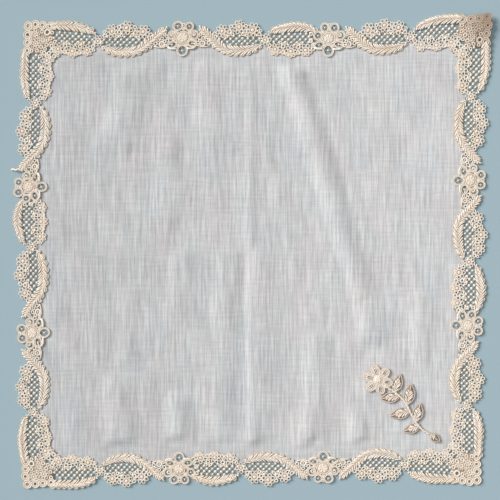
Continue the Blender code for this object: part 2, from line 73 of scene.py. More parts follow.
LACE_PRESSED = 0.4  # share of its relief that the lace has lost where it lies on the linen
FLOWER_RAISE = 0.22  # flowers lie on the leaves' ends
STEP_WIDE, STEP_OUT = 3.0, 0.9  # width of the lace's step onto the linen, and its share outside the edge
CORNER_STEP = 9.0  # the same step in a corner block, from its middle
PHOTO_WIDE = 350.0  # width of what the photograph shows
LENS, SENSOR = 85.0, 36.0

WAISTS = (-HALF_SIDE + LEAF_OUT, -HALF_SIDE + LEAF_OUT + 2 * LEAF_IN, HALF_SIDE - LEAF_OUT)
FLOWERS = (WAISTS[0] + LEAF_IN, WAISTS[2] - LEAF_IN)
STATIONS = (
    # corner, waist, flower, waist, flower, waist
    ((-148.4, 148.4), (-106.0, 146.3), (-46.9, 148.4), (10.8, 147.0), (55.3, 148.0), (112.7, 149.4)),
    ((157.1, 154.0), (154.7, 107.8), (154.0, 49.0), (153.3, -8.1), (152.6, -52.8), (151.3, -108.8)),
    ((151.5, -152.6), (108.3, -150.1), (51.1, -152.6), (-6.3, -152.6), (-49.7, -153.3), (-105.3, -154.2)),
    ((-148.4, -156.1), (-151.5, -113.4), (-151.9, -58.1), (-152.9, 2.1), (-154.7, 44.1), (-149.8, 102.9)),
)
WAIST_V, FLOWER_V = -0.9, 1.05  # where the stations sit across the border

# The order of the units on a side. Columns: unit, u of its waist or flower, direction.
SIDE = (
    ("leaf_out_corner", WAISTS[0], -1),
    ("waist", WAISTS[0], 1),
    ("leaf_in", WAISTS[0], 1),
    ("flower", FLOWERS[0], 1),
    ("leaf_in", WAISTS[1], -1),
    ("waist", WAISTS[1], 1),
    ("leaf_out_flower", WAISTS[1], 1),
    ("flower", FLOWERS[1], 1),
    ("leaf_in", WAISTS[2], -1),
    ("waist", WAISTS[2], 1),
    ("leaf_out_corner", WAISTS[2], 1),
)
# The linen's cut edge, under the lace. Columns: q, v.
OUT_EDGE = ((4.2, -5.2), (7.2, -9.2), (20.0, -9.7))
LINEN_EDGE = {
    "waist": ((0.0, -4.4),),
    "leaf_in": ((5.4, -6.1), (10.0, -8.8), (18.0, -9.6), (26.0, -9.0), (33.0, -6.3), (40.0, -4.9)),
    "leaf_out_corner": OUT_EDGE + ((26.5, -9.7),),
    "leaf_out_flower": OUT_EDGE + ((28.0, -9.0), (33.6, -6.0)),
    "flower": ((-9.6, -5.1), (-7.4, -7.0), (-5.2, -6.8), (-3.95, -5.9), (-3.3, -8.6), (-1.7, -11.0),
               (1.7, -11.0), (3.3, -8.6), (3.95, -5.9), (5.2, -6.8), (7.4, -7.0), (9.6, -5.1)),
}
CORNER_LINEN = ((12.9, -12.9),)

EYELETS = 8  # of a rosette
ROSE, WAIST_ROSE = 4.9, 4.1  # outer radii of the leaves' and the waists' rosette as drawn
# Rosettes. Columns: q, v, outer radius as it lies.
OUT_ROSES = ((7.4, -7.2, 4.6), (18.0, -8.4, 4.6), (28.2, -7.35, 4.6))
ROSES = {
    "leaf_in": ((9.1, 5.6, 4.9), (18.9, 7.7, 4.9), (30.4, 5.3, 4.9)),
    "leaf_out_corner": OUT_ROSES,
    "leaf_out_flower": OUT_ROSES,
    "waist": ((0.0, -0.9, 4.1),),
}
# Small eyelets that join the rosettes into a band. Columns: q, v, outer radius.
OUT_EYES = ((3.2, -4.4, 1.6), (2.7, -7.0, 1.3), (12.7, -5.0, 1.8), (12.7, -9.2, 1.8),
            (23.1, -5.1, 1.8), (23.2, -9.4, 1.8), (10.9, -2.4, 1.3), (14.6, -2.7, 1.3),
            (21.3, -3.0, 1.3), (25.0, -2.6, 1.3))
BAND_EYES = {
    "leaf_in": ((4.2, 2.6, 1.6), (3.6, 5.0, 1.3), (14.1, 4.9, 1.8), (13.9, 8.3, 1.6), (24.5, 8.2, 1.6),
                (25.0, 4.6, 1.8), (12.9, 2.0, 1.4), (15.9, 2.6, 1.3), (22.9, 2.9, 1.4), (26.9, 1.4, 1.3),
                (35.6, 3.6, 1.6)),
    "leaf_out_corner": OUT_EYES + ((33.2, -8.8, 1.7), (33.3, -5.4, 1.6), (31.2, -2.4, 1.4)),
    "leaf_out_flower": OUT_EYES + ((33.0, -6.4, 1.7), (33.3, -3.4, 1.6), (31.2, -0.4, 1.4)),
}
LOBE_PITCH, LOBE = 4.1, 2.05  # step from lobe to lobe, and the largest radius of one
RIM_IN, RIM_TOP = 0.26, 0.84  # how far a bright cord lies inside the edge that it follows, and its height
# Leaves. Columns: q, v and half width along the leaf. Their lobes lie to the right of its run.
OUT_FOOT = ((10.4, 6.9, 3.4), (5.4, 5.4, 3.0), (2.2, 3.9, 1.8))
LEAVES = {
    "leaf_in": ((2.6, -4.2, 1.9), (8.4, -7.4, 3.5), (17.5, -8.6, 4.2), (26.6, -7.3, 4.1),
                (32.9, -3.6, 3.7), (38.2, 1.6, 3.3), (42.8, 5.6, 3.4), (46.6, 7.4, 2.4)),
    "leaf_out_corner": ((35.5, 8.0, 3.6), (27.0, 8.0, 3.8), (18.5, 8.2, 4.0)) + OUT_FOOT,
    "leaf_out_flower": ((34.6, 4.4, 2.7), (28.8, 7.3, 3.6), (19.5, 8.4, 4.0)) + OUT_FOOT,
}
# Where the fine net lies, as corners of a patch. Columns: q, v.
OUT_NET = ((1.0, -2.6), (8.0, -4.6), (20.0, -5.2), (31.6, -4.8), (32.4, -1.0), (30.6, 4.4), (20.0, 4.8),
           (8.0, 3.4), (2.0, 1.7))
NETS = {
    "leaf_in": ((1.0, -3.6), (6.0, -3.8), (12.0, -5.2), (20.0, -5.4), (27.0, -4.4), (31.5, -1.4), (35.6, 2.4),
                (34.6, 5.6), (24.6, 6.0), (14.0, 5.4), (4.0, 3.6)),
    "leaf_out_corner": OUT_NET,
    "leaf_out_flower": OUT_NET,
}
NET_PITCH = 4.0  # between knots along a row
NET_ROW = 1.9  # between rows
KNOT = 0.98  # radius of the net's knots

# The ring petals of a flower. Columns: q, v, outer half length, outer half width, turn.
PETAL_RINGS = (
    (-3.6, 8.4, 3.4, 3.5, 0), (3.6, 8.4, 3.4, 3.4, 0), (-7.9, 2.9, 3.2, 3.3, 0), (7.9, 2.9, 3.2, 3.3, 0),
    (-6.6, -3.4, 3.9, 2.9, 14), (6.6, -3.4, 3.9, 2.9, -14), (0.0, -7.6, 3.9, 4.3, 0),
)
PETAL_BAND = 0.62  # half width of a ring petal's pinkish band
PETAL_STRAY = 0.45  # how far a ring petal may lie from its place
HEART_PAD = (4.5, 4.1)  # half length and half width of a flower's close-worked middle
# Small rings beside a flower and round a corner block. Columns: q, v, outer radius.
FLOWER_EYES = ((-12.2, -1.2, 1.5), (12.2, -1.2, 1.5), (-12.4, 3.4, 1.4), (12.4, 3.4, 1.4), (0.0, 9.9, 1.2),
               (-11.0, -4.0, 1.3), (11.0, -4.0, 1.3))
LEAF_END_EYES = ((43.4, -3.0, 2.5), (39.2, -2.6, 1.7), (47.0, -0.6, 1.7), (43.2, 0.9, 1.5),
                 (36.0, -5.0, 1.3), (49.8, 3.2, 1.6), (46.4, 2.2, 1.2), (40.9, -0.2, 1.3))
LEAF_END_CORD = ((38.0, -4.4, 0.7), (41.0, -5.3, 0.75), (44.5, -5.5, 0.75), (48.0, -3.6, 0.75),
                 (51.0, -2.6, 0.7))
# A cord on the linen's side of a flower, drawn once and mirrored. Columns: q, v, height.
FLOWER_CORD = ((3.3, -6.3, 0.8), (5.2, -6.6, 0.8), (7.6, -6.5, 0.8), (9.7, -5.3, 0.8))
CORNER_BAND = 0.55  # half width of a corner ring's band
CORNER_RINGS = ((-7.0, -8.7, 3.0), (-7.0, -3.1, 3.0), (-7.3, 2.3, 3.1), (-7.4, 8.0, 3.2), (-2.1, 9.0, 3.1),
                (3.1, 8.4, 3.0), (8.3, 7.8, 3.0))
CORNER_ROSES = ((-2.2, 3.0, 3.9), (-1.0, -4.0, 3.9), (4.4, -1.4, 3.1))
CORNER_EYES = ((3.0, 4.2, 1.6), (6.9, 3.7, 2.6), (9.4, -0.4, 1.6), (7.0, -4.6, 1.7), (3.2, -6.2, 1.7),
               (0.4, -8.8, 1.6), (-3.6, -8.8, 1.6), (10.2, 3.4, 1.5), (-4.9, -0.6, 1.2), (5.9, -7.6, 1.5),
               (9.9, -3.6, 1.4), (3.4, -9.6, 1.4), (1.2, 0.2, 1.1), (7.4, -1.6, 1.3), (11.6, 6.4, 1.3),
               (-8.3, -12.0, 1.4), (9.4, -13.4, 1.4), (13.4, -9.4, 1.4), (11.6, -7.0, 1.3), (7.0, -11.6, 1.3),
               (12.8, -12.6, 1.8), (15.6, -12.0, 1.2), (12.0, -15.4, 1.2))
# The close work under a corner block, and the holes in it. Columns: q, v.
CORNER_GROUND = ((-9.6, -11.0), (-9.9, 10.6), (10.4, 10.2), (11.2, 3.5), (11.3, -3.5), (9.8, -6.6),
                 (6.6, -6.6), (6.4, -10.2), (3.5, -11.2))
CORNER_TIP = ((8.0, -14.4), (14.6, -14.6), (14.5, -8.0), (12.6, -7.6), (12.1, -11.4), (11.3, -12.3),
              (7.6, -12.6))
CORNER_HOLES = (
    ((4.7, 4.0), (5.5, 5.5), (7.3, 5.5), (8.1, 4.0), (7.3, 2.5), (5.5, 2.5)),
    ((-8.6, 2.3), (-7.9, 3.1), (-6.7, 3.1), (-6.0, 2.3), (-6.7, 1.5), (-7.9, 1.5)),
    ((-2.6, 8.9), (-2.1, 9.6), (-1.6, 8.9), (-2.1, 8.2)),
)
# A pale sheet, drawn as close work, behind the half of a row of rosettes that lies over the linen: painted
# light that fills their holes where shade would fall. Columns: q, v.
OUT_BACKING = ((3.6, -7.6), (5.0, -10.6), (7.4, -11.4), (10.6, -10.0), (12.7, -10.4), (15.0, -11.8),
               (18.0, -12.5), (21.0, -11.8), (23.2, -10.5), (25.6, -10.6), (28.2, -11.5), (30.8, -10.6),
               (33.0, -9.2), (31.0, -8.4), (28.2, -8.6), (23.2, -9.0), (18.0, -9.6), (12.7, -8.8),
               (7.4, -8.4))
# A thread end that has come loose on the left, on the table. Columns: x, y, height.
LOOSE_END = ((-160.5, 56.2, 1.6), (-163.4, 57.5, 1.9), (-165.6, 56.9, 1.7), (-167.4, 57.6, 1.2),
             (-168.9, 57.2, 0.7))

# The folds of the linen. Their places were read in the photograph, and nine were then moved
# sideways by a measure of its shading. All widths and heights are the output of a fit of
# the render's shading to the photograph's. Columns: x and y of the upper and of the lower
# end, width of the left slope and of the right one, height.
FOLDS = (
    (0.4, 134.0, 0.0, -3.5, 5.0, 6.0, 0.6),
    (-14.4, -8.4, -20.7, -134.0, 13.0, 12.0, 1.0),
    (1.8, -8.4, 1.8, -134.0, 6.0, 23.0, 1.4),
    (28.0, 131.6, 77.7, -30.8, 11.0, 13.0, 2.1),
    (77.7, -30.8, 87.5, -74.2, 10.0, 17.0, 1.6),
    (-82.6, 119.0, -93.8, 77.0, 16.0, 17.0, 1.2),
    (-30.8, 126.0, -25.2, 35.0, 11.0, 14.0, 0.6),
    (-57.7, 70.0, -59.1, 24.5, 14.0, 13.0, 0.9),
    (-50.5, -8.4, -51.9, -38.5, 8.0, 14.0, 0.7),
    (-80.5, -30.8, -86.8, -75.6, 11.0, 6.0, 0.3),
    (-68.2, -86.8, -71.7, -109.2, 10.0, 13.0, 0.5),
    (-90.6, -98.0, -90.6, -134.0, 16.0, 16.0, 1.6),
    (-51.2, -108.0, -51.2, -136.0, 12.0, 14.0, 1.8),
    (48.4, -64.4, 40.3, -136.0, 12.0, 13.0, 1.2),
    (75.6, -104.0, 75.6, -134.0, 10.0, 12.0, 1.2),
    (117.1, -35.0, 117.1, -78.0, 6.0, 13.0, 0.8),
)
FOLD_FADE = (6.5, 14.0)  # distances from the linen's edge where a fold starts and where it is whole
SPRAY_FADE = (20.0, 32.0)  # the same two from the spray's middle line
REST, WAVE = 0.22, 0.45  # mean height over LINEN_Z between folds, and strength of the unevenness
LINEN_GRID = 1.6  # spacing of the linen's points

# The corner spray, drawn along its stem: s runs from the blossom to the foot, w across.
SPRAY_Z, SPRAY_SUNK = 1.35, 0.25  # where its solid lies, and how much lower its threads start
SPRAY_AT = (89.4, -90.6)
SPRAY_TURN = -45.0
SPRAY_LONG = 53.0
STEM = ((6.0, 0.0), (15.0, 2.3), (25.0, 2.2), (35.0, -1.0), (45.0, -2.8), (SPRAY_LONG, -1.2))
# Columns: s and w of a leaf's foot, its turn, length and half width.
SPRAY_LEAVES = (
    (14.5, 2.2, 118.0, 13.5, 3.4),
    (19.0, 2.5, -128.0, 14.0, 3.5),
    (27.0, 1.9, 124.0, 15.5, 3.8),
    (31.5, 0.3, -122.0, 15.0, 3.8),
    (39.5, -2.0, 122.0, 13.5, 3.5),
    (43.5, -2.6, -118.0, 12.0, 3.2),
    (52.5, -1.3, 8.0, 9.0, 2.8),
)
# The blossom: its petals, their places and halves, and the radius of its heart.
PETALS = 6
PETAL_REACH, PETAL_LONG, PETAL_WIDE, HEART = 6.3, 4.6, 3.5, 3.4
DOTS, DOT_REACH = 7, 1.55  # knots on the blossom's heart, and their distance from its middle
RIM_TONE, STEM_TONE = 0.9, 0.6  # tones of the spray's brown cords

KEY_FROM, KEY_SOFT, KEY_POWER = (-1.7, 0.9, 1.15), 30.0, 3.45  # metres, degrees, strength
FILL_FROM, FILL_WIDE, FILL_POWER = (0.08, -0.02, 0.8), 0.7, 1.5
WORLD_LIGHT = 0.21
FLOOR_WIDE, FLOOR_Z, FLOOR_COLOUR = 6.0, -0.0002, (0.37, 0.49, 0.54)  # metres

# The linen's own colour, painted darker on the left and lighter on the right, as light that falls off across
# it.
LINEN_SHADED_LEFT, LINEN_LIT_RIGHT = (0.835, 0.835, 0.82), (0.985, 0.98, 0.96)
LINEN_TURN = 0.15  # metres left and right of the middle, between which the painted shade on the left becomes the painted light on the right
RISE_SCALE = 1.7  # the height that counts as a rise of 1, for the lace's painted shade
FULL_SHADE_RISE, NO_SHADE_RISE = 0.34, 0.62  # rises at which a thread has its full painted shade, and at which it has none
WHITE, PLAIN, TAN, PINK = 0.0, 0.1, 0.45, 0.75  # tones of the lace's parts, from white cream to pink
DULL_TONE, DULL_LEVEL = 0.05, 0.42  # how much browner and darker the colour is toward the top right corner's tip


def smooth(t):
    t = np.clip(t, 0.0, 1.0)
    return t * t * (3 - 2 * t)


def spin(points, degrees):
    a = math.radians(degrees)
    return np.asarray(points, float) @ np.array(((math.cos(a), math.sin(a)), (-math.sin(a), math.cos(a))))


def turned(points, quarter):
    """The points of the top side, turned clockwise by a number of quarter turns."""
    p = np.asarray(points, float)
    for _ in range(quarter):
        p = np.stack([p[..., 1], -p[..., 0]], axis=-1)
    return p


def curve(controls, step):
    """A smooth line through the control rows, all columns carried along, at an even step."""
    c = np.asarray(controls, float)
    c = np.vstack([2 * c[0] - c[1], c, 2 * c[-1] - c[-2]])
    rows = []
    for a, b, d, e in zip(c, c[1:], c[2:], c[3:]):
        t = np.linspace(0, 1, 24, endpoint=False)[:, None]
        rows.append(0.5 * (2 * b + (d - a) * t + (2 * a - 5 * b + 4 * d - e) * t**2
                           + (3 * b - a - 3 * d + e) * t**3))
    rows = np.vstack(rows + [c[-2:-1]])
    far = np.concatenate([[0], np.cumsum(np.linalg.norm(np.diff(rows[:, :2], axis=0), axis=1))])
    at = np.linspace(0, far[-1], max(2, round(far[-1] / step) + 1))
    return np.stack([np.interp(at, far, column) for column in rows.T], axis=1)


def across(path):
    """The unit normal to the left of a plan path, at each of its points."""
    ahead = np.gradient(path[:, :2], axis=0)
    ahead /= np.linalg.norm(ahead, axis=1)[:, None]
    return np.stack([-ahead[:, 1], ahead[:, 0]], axis=1)


class Motif:
    """Threads of one repeated form, in its own frame. Every thread has a tone."""

    def __init__(self):
        self.verts, self.faces, self.thread, self.tones = [], [], [], []
        self.count = 0

    def add(self, verts, faces, tone):
        self.verts.append(verts)
        self.faces.append(np.asarray(faces) + self.count)
        self.thread.append(np.full(len(verts), len(self.tones)))
        self.tones.append(tone)
        self.count += len(verts)

    def tube(self, path, half, rise, tone=PLAIN, sides=6, closed=False):
        """A thread along a path of (q, v, height). Faces with a repeated corner are triangles."""
        path = np.asarray(path, float)
        count = len(path)
        half = np.broadcast_to(half, count)[:, None, None]
        rise = np.broadcast_to(rise, count)[:, None, None]
        if closed:
            ahead = np.roll(path, -1, axis=0) - np.roll(path, 1, axis=0)
        else:
            ahead = np.gradient(path, axis=0)
        side = np.stack([-ahead[:, 1], ahead[:, 0]], axis=1)
        side /= np.linalg.norm(side, axis=1)[:, None] + 1e-9
        side = np.column_stack([side, np.zeros(count)])[:, None]
        a = (2 * np.pi * (np.arange(sides) + 0.5) / sides)[None, :, None]
        up = np.array((0.0, 0.0, 1.0))
        verts = (path[:, None] + np.cos(a) * half * side + np.sin(a) * rise * up).reshape(-1, 3)
        i = np.arange(count if closed else count - 1)[:, None] * sides
        j = np.arange(sides)[None]
        k = (j + 1) % sides
        after = (i + sides) % (count * sides)
        faces = [np.stack([i + j, i + k, after + k, after + j], axis=-1).reshape(-1, 4)]
        if not closed:
            last = (count - 1) * sides
            j, k = j[0], k[0]
            first_tip, last_tip = np.full(sides, len(verts)), np.full(sides, len(verts) + 1)
            verts = np.vstack([verts, path[0], path[-1]])
            faces.append(np.stack([k, j, first_tip, first_tip], axis=-1))
            faces.append(np.stack([last + j, last + k, last_tip, last_tip], axis=-1))
        self.add(verts, np.vstack(faces), tone)

    def ring(self, q, v, long, wide, height, half, rise, tone=PLAIN, turn=0.0, around=14, sides=5):
        a = 2 * np.pi * np.arange(around) / around
        plan = spin(np.stack([long * np.cos(a), wide * np.sin(a)], axis=1), turn) + (q, v)
        self.tube(np.column_stack([plan, np.full(around, height)]), half, rise, tone, sides, closed=True)

    def knot(self, q, v, height, long, wide, rise, tone=PLAIN, turn=0.0, around=8, rings=3):
        """A flattened ball."""
        a = 2 * np.pi * np.arange(around) / around
        tilt = np.pi * (np.arange(rings) + 1) / (rings + 1) - np.pi / 2
        plan = np.cos(tilt)[:, None, None] * np.stack([long * np.cos(a), wide * np.sin(a)], axis=1)[None]
        z = np.broadcast_to((rise * np.sin(tilt))[:, None, None], (rings, around, 1))
        verts = np.concatenate([spin(plan, turn), z], axis=2).reshape(-1, 3)
        i = np.arange(rings - 1)[:, None] * around
        j = np.arange(around)[None]
        k = (j + 1) % around
        faces = [np.stack([i + j, i + k, i + around + k, i + around + j], axis=-1).reshape(-1, 4)]
        low, high = np.full(around, len(verts)), np.full(around, len(verts) + 1)
        verts = np.vstack([verts, (0, 0, -rise), (0, 0, rise)]) + (q, v, height)
        j, k = j[0], k[0]
        last = (rings - 1) * around
        faces.append(np.stack([k, j, low, low], axis=-1))
        faces.append(np.stack([last + j, last + k, high, high], axis=-1))
        self.add(verts, np.vstack(faces), tone)

    def ground(self, outline, holes, low, high, tone):
        """A thin flat piece of close work with holes through it."""
        loops = [np.array(outline, float)] + [np.array(hole, float) for hole in holes]
        plan = np.vstack(loops)
        edges, first = [], 0
        for loop in loops:
            edges += [(first + i, first + (i + 1) % len(loop)) for i in range(len(loop))]
            first += len(loop)
        found = delaunay_2d_cdt([Vector(p) for p in plan], edges, [], 0, 1e-6, False)
        plan, faces = np.array([tuple(p) for p in found[0]]), np.array([tuple(f) for f in found[2]])
        middle = plan[faces].mean(axis=1)
        keep = inside(middle, loops[0])
        for loop in loops[1:]:
            keep &= ~inside(middle, loop)
        faces, count = faces[keep], len(plan)
        sides = {(a, b) for f in faces for a, b in zip(f, np.roll(f, -1))}
        walls = [(a + count, b + count, b, a) for a, b in sides if (b, a) not in sides]
        verts = np.vstack([np.column_stack([plan, np.full(count, z)]) for z in (high, low)])
        under = faces[:, ::-1] + count
        self.add(verts, np.vstack([faces[:, (0, 1, 2, 2)], under[:, (0, 1, 2, 2)], walls]), tone)

    def packed(self):
        return (np.vstack(self.verts), np.vstack(self.faces), np.concatenate(self.thread),
                np.array(self.tones))


def rosette(outer):
    """Buttonholed eyelets round a solid middle."""
    form = Motif()
    wide = outer * math.sin(math.pi / EYELETS) / (1 + math.sin(math.pi / EYELETS))
    tube = 0.27 * wide
    eye = wide - tube + 0.12
    reach = outer - wide - 0.1
    for k in range(EYELETS):
        a = 2 * math.pi * k / EYELETS
        form.ring(reach * math.cos(a), reach * math.sin(a), eye + 0.06, eye - 0.06, 0.78, tube, 0.42,
                  PLAIN, math.degrees(a))
    middle = reach - wide + 0.4
    form.ring(0, 0, middle - 0.5, middle - 0.5, 0.7, 0.5, 0.4, PINK, 0, 16, 6)
    form.knot(0, 0, 0.8, middle - 1.1, middle - 1.1, 0.36, TAN, 0, 12, 4)
    return form


def leaf(controls, pitch=LOBE_PITCH / 2, half=0.57, angle=35.0, height=0.62, lobed=False):
    """A herringbone leaf: a low ground, two rows of curved strokes and a midrib. A lobed leaf
    has buttonholed lobes along its right edge, two strokes to each."""
    form = Motif()
    rng = np.random.default_rng(1)
    line = curve(controls, 0.5)
    long = 0.5 * (len(line) - 1)
    at = np.linspace(0, long, len(line))
    normal = across(line)

    def place(s, w):
        """Plan point at a length along the leaf and a signed offset from its middle."""
        beyond = np.clip(s - long, 0, None)[..., None]
        ahead = np.array((normal[-1][1], -normal[-1][0]))
        return np.stack([np.interp(s, at, line[:, i]) + w * np.interp(s, at, normal[:, i]) for i in (0, 1)],
                        axis=-1) + beyond * ahead

    ends = smooth(np.minimum(at, long - at + 0.6) / 2.4)
    ground = (line[:, 2] - 0.75) * (0.25 + 0.75 * ends)
    form.tube(np.column_stack([line[:, :2], np.full(len(line), 0.42)])[::3], ground[::3], 0.2, PINK, 8)
    if lobed:
        for s in np.arange(1.6, long - 0.8, LOBE_PITCH):
            wide = np.interp(s, at, line[:, 2])
            size = min(LOBE, 0.6 * wide) * rng.uniform(0.94, 1.06)
            q, v = place(np.array(s), size - wide)
            form.knot(q, v, 0.6, size, size, 0.28, TAN, 0, 10, 3)
            form.ring(q, v, size - RIM_IN, size - RIM_IN, RIM_TOP, 0.26, 0.26, PLAIN, 0, 12, 4)
    t = np.linspace(0, 1, 7)
    blunt = np.sqrt(np.clip(1 - ((t - 0.82) / 0.2) ** 2, 0.04, 1))
    swell = np.where(t < 0.82, 0.5 + 0.5 * smooth(t / 0.7), blunt)
    strokes = int((long - 1.2) / pitch)
    for k in range(strokes + 1):
        for side in (-1, 1):
            into_lobe = lobed and side < 0
            s0 = (k + (0.25 if side > 0 else 0.0)) * pitch + 0.2 + rng.uniform(-0.22, 0.22)
            wide = np.interp(min(s0 + 3.5, long), at, line[:, 2]) - (0.25 if into_lobe else 0.0)
            reach = (wide - 0.55) / math.tan(math.radians(angle + rng.uniform(-4.0, 4.0)))
            reach = min(reach, long + 1.6 - s0)
            if reach < 1.2:
                continue
            s = s0 + reach * t ** 0.92
            w = side * (0.25 + (wide - 0.95) * t ** 1.35)
            z = height + 0.5 * np.sin(np.pi * (0.22 + 0.7 * t)) + (0.12 if into_lobe else -0.05)
            thick = swell * rng.uniform(0.88, 1.06)
            tone = rng.uniform(0.2, 1.1) * TAN
            form.tube(np.column_stack([place(s, w), z]), half * thick, 0.46 * swell, tone, 6)
    rib = at[::2]
    form.tube(np.column_stack([place(rib, 0 * rib), np.full(len(rib), height + 0.42)]), 0.26, 0.2, TAN, 5)
    return form


def inside(points, loop):
    """Which points lie inside a closed loop."""
    x, y = np.asarray(points, float).T[:, :, None]
    loop = np.asarray(loop, float)
    x0, y0 = loop.T
    x1, y1 = np.roll(loop, -1, axis=0).T
    rise = np.where(y1 == y0, 1e-12, y1 - y0)
    crosses = ((y0 > y) != (y1 > y)) & (x < (x1 - x0) * (y - y0) / rise + x0)
    return crosses.sum(axis=1) % 2 == 1


def net(patch, roses):
    """Knots on a square mesh set cornerwise, tied by short threads."""
    form = Motif()
    rng = np.random.default_rng(len(patch))
    patch = np.array(patch)
    low, high = patch.min(axis=0), patch.max(axis=0)
    nodes = []
    for row in range(math.floor(low[1] / NET_ROW), math.ceil(high[1] / NET_ROW) + 1):
        first = math.floor(low[0] / NET_PITCH)
        for column in range(first, math.ceil(high[0] / NET_PITCH) + 1):
            nodes.append(((column + 0.5 * (row % 2)) * NET_PITCH, row * NET_ROW))
    nodes = np.array(nodes)
    nodes = nodes[inside(nodes, patch)]
    clear = np.ones(len(nodes), bool)
    for q, v, radius in roses:
        clear &= np.linalg.norm(nodes - (q, v), axis=1) > radius - 0.2
    reach = math.hypot(NET_PITCH / 2, NET_ROW)
    for i, a in enumerate(nodes):
        for b in nodes[i + 1:]:
            if np.linalg.norm(a - b) < reach * 1.05:
                form.tube([(*a, 0.66), (*((a + b) / 2), 0.58), (*b, 0.66)], 0.29, 0.22, PLAIN, 5)
    for (q, v), free in zip(nodes, clear):
        if free:
            grow = KNOT * rng.uniform(0.86, 1.14)
            form.knot(q, v, 0.8, grow, 0.92 * grow, 0.46, WHITE, 45.0, 8, 3)
    return form


def petal_ring(form, q, v, long, wide, turn, seed):
    """One flat ring petal: a pinkish band between two bright cords, with dots in its eye."""
    rng = np.random.default_rng(seed)
    form.ring(q, v, long - PETAL_BAND, wide - PETAL_BAND, 0.62, PETAL_BAND, 0.34, PINK, turn, 18, 6)
    form.ring(q, v, long - RIM_IN, wide - RIM_IN, RIM_TOP, 0.28, 0.3, PLAIN, turn, 22, 5)
    eye_long, eye_wide = long - 2 * PETAL_BAND, wide - 2 * PETAL_BAND
    form.ring(q, v, eye_long + 0.1, eye_wide + 0.1, RIM_TOP, 0.24, 0.26, PLAIN, turn, 16, 5)
    a = rng.uniform(0, 180)
    for k in range(2):
        tip = spin((eye_long, 0.0), a + 90 * k + turn)
        bar = [(q - tip[0], v - tip[1], 0.7), (q, v, 0.74), (q + tip[0], v + tip[1], 0.7)]
        form.tube(bar, 0.15, 0.14, PLAIN, 5)
    form.knot(q, v, 0.8, 0.16 * eye_long + 0.34, 0.16 * eye_wide + 0.3, 0.32, WHITE, a)


def small_eye(form, q, v, radius):
    """One small buttonholed ring."""
    tube = 0.3 * radius + 0.06
    form.ring(q, v, radius - tube, radius - tube, 0.74, tube, 0.4, PLAIN, 0, 12, 5)


def eyelet_band(rows):
    """The eyelets between rosettes, each pair tied by a little close work."""
    form = Motif()
    for q, v, radius in rows:
        small_eye(form, q, v, radius)
    for (q0, v0, _), (q1, v1, _) in zip(rows, rows[1:]):
        if math.hypot(q1 - q0, v1 - v0) < 5.0:
            form.knot((q0 + q1) / 2, (v0 + v1) / 2, 0.62, 0.95, 0.95, 0.4, PINK)
    return form


def flower(seed):
    """Seven ring petals round a close-worked middle, with more close work between them."""
    form = Motif()
    rng = np.random.default_rng(seed)
    heart = np.array((0.0, FLOWER_V))
    form.knot(*heart, 0.7, *HEART_PAD, 0.36, TAN, 0, 20, 3)
    form.ring(*heart, HEART_PAD[0] - 0.1, HEART_PAD[1] - 0.1, 0.8, 0.45, 0.26, TAN, 0, 22, 6)
    rows = sorted(PETAL_RINGS, key=lambda row: math.atan2(row[1] - FLOWER_V, row[0]))
    for (q0, v0, *_), (q1, v1, *_) in zip(rows, rows[1:] + rows[:1]):
        pad = heart + 0.8 * (np.array((q0 + q1, v0 + v1)) / 2 - heart)
        form.knot(*pad, 0.66, 1.9, 1.7, 0.34, TAN, 0, 10, 3)
    for way in (-1, 1):
        form.tube(np.array(FLOWER_CORD) * (way, 1, 1), 0.75, 0.42, PLAIN, 6)
    for k, (q, v, long, wide, turn) in enumerate(PETAL_RINGS):
        out = np.array((q, v)) - heart
        out /= np.linalg.norm(out)
        reach = rng.uniform(0.9, 1.1)
        foot, tip = heart + 1.5 * out, heart + 3.3 * reach * out
        form.tube([(*foot, 1.0), (*((foot + tip) / 2), 1.04), (*tip, 0.86)], (0.3, 0.44, 0.36), 0.2, PLAIN, 6)
        grow = rng.uniform(0.93, 1.05)
        stray = rng.uniform(-PETAL_STRAY, PETAL_STRAY), rng.uniform(-PETAL_STRAY, PETAL_STRAY)
        petal_ring(form, q + stray[0], v + stray[1], long * grow, wide * grow, turn, seed * 10 + k)
    form.ring(*heart, 1.15, 1.1, 1.0, 0.3, 0.2, PLAIN, 0, 14, 5)
    form.knot(*heart, 1.0, 0.6, 0.55, 0.2, TAN)
    for q, v, radius in FLOWER_EYES:
        small_eye(form, q, v, radius)
    return form


def leaf_end_filling():
    """The small work between a leaf's end, its flower and the linen."""
    form = Motif()
    for q, v, radius in LEAF_END_EYES:
        small_eye(form, q, v, radius)
    form.knot(*LEAF_END_EYES[0][:2], 0.7, 0.8, 0.8, 0.5, PINK)
    form.tube(LEAF_END_CORD, 0.5, 0.42, TAN, 6)
    return form


def corner_block():
    """The square of rings, rosettes and eyelets at a corner of the border."""
    form = Motif()
    form.ground(CORNER_GROUND, CORNER_HOLES, 0.28, 0.64, TAN)
    form.ground(CORNER_TIP, (), 0.28, 0.64, TAN)
    for q, v, radius in CORNER_RINGS:
        band = radius - CORNER_BAND
        form.ring(q, v, band, band, 0.66, CORNER_BAND, 0.38, TAN, 0, 18, 6)
        form.ring(q, v, radius - RIM_IN, radius - RIM_IN, 0.88, 0.26, 0.3, PLAIN, 0, 20, 5)
        form.ring(q, v, radius - 1.6, radius - 1.6, 0.76, 0.58, 0.36, PLAIN, 0, 14, 5)
    for q, v, radius in CORNER_EYES:
        small_eye(form, q, v, radius)
    rng = np.random.default_rng(5)
    for q, v, radius in CORNER_ROSES:
        verts, faces, thread, tones = rosette(radius).packed()
        verts = np.column_stack([spin(verts[:, :2], rng.uniform(0, 45)) + (q, v), verts[:, 2]])
        for k, tone in enumerate(tones):
            mine = thread == k
            fresh = np.cumsum(mine) - 1
            form.add(verts[mine], fresh[faces[mine[faces[:, 0]]]], tone)
    return form


